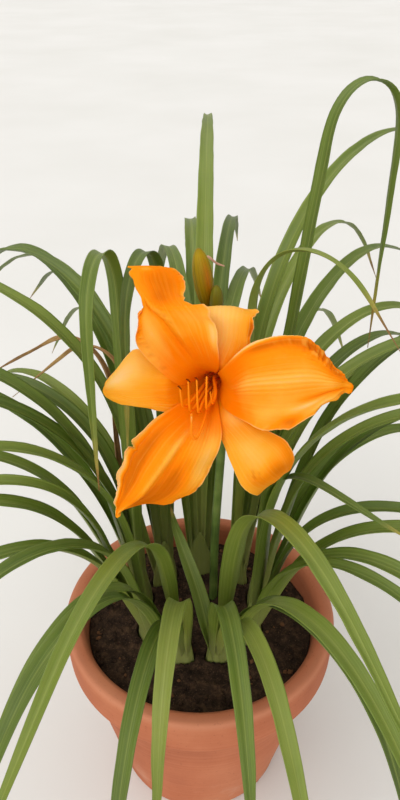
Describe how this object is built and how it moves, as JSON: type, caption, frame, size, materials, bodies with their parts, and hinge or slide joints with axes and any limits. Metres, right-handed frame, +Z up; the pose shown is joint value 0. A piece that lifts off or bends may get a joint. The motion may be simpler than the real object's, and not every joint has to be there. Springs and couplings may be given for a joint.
{
  "type": "potted daylily plant",
  "caption": "Daylily plant in flower in a plain clay pot: arching fans of keeled strap leaves round one stalk with an open ruffled orange bloom and closed buds.",
  "frame": {"origin": "centre of the pot's flat underside", "axes": "+Z up, out of the pot's mouth; the open bloom looks towards -Y and a little up; +X to its right as it is faced"},
  "size_m": [0.7967, 0.796, 0.6125],
  "materials": {
    "terracotta": "matte",
    "soil": "matte",
    "leaf_green": "satin",
    "leaf_withered": "matte",
    "scape_green": "satin",
    "bract_dry": "matte",
    "bud_ochre": "satin",
    "bud_green": "satin",
    "petal_orange": "satin",
    "tube_green": "satin",
    "filament_orange": "satin",
    "anther_dark": "matte",
    "pistil_orange": "satin"
  },
  "bodies": {
    "root": {"pot": "terracotta", "soil": "soil", "leaf_fan_1": "leaf_green", "leaf_fan_2": "leaf_green", "leaf_fan_3": "leaf_green", "leaf_fan_4": "leaf_green", "leaf_fan_5": "leaf_green", "leaf_fan_6": "leaf_green", "leaf_fan_7": "leaf_green", "leaf_fan_8": "leaf_green", "leaf_fan_9": "leaf_green", "withered_leaf_1": "leaf_withered", "withered_leaf_2": "leaf_withered", "scape": "scape_green", "bract": "bract_dry", "bud_large": "bud_ochre", "bud_small": "bud_green", "petal_upper_left": "petal_orange", "petal_right": "petal_orange", "petal_lower_left": "petal_orange", "sepal_left": "petal_orange", "sepal_top": "petal_orange", "sepal_lower_right": "petal_orange", "floral_tube": "tube_green", "filament_1": "filament_orange", "filament_2": "filament_orange", "filament_3": "filament_orange", "filament_4": "filament_orange", "filament_5": "filament_orange", "filament_6": "filament_orange", "anther_1": "anther_dark", "anther_2": "anther_dark", "anther_3": "anther_dark", "anther_4": "anther_dark", "anther_5": "anther_dark", "anther_6": "anther_dark", "pistil": "pistil_orange"}
  },
  "joints": []
}
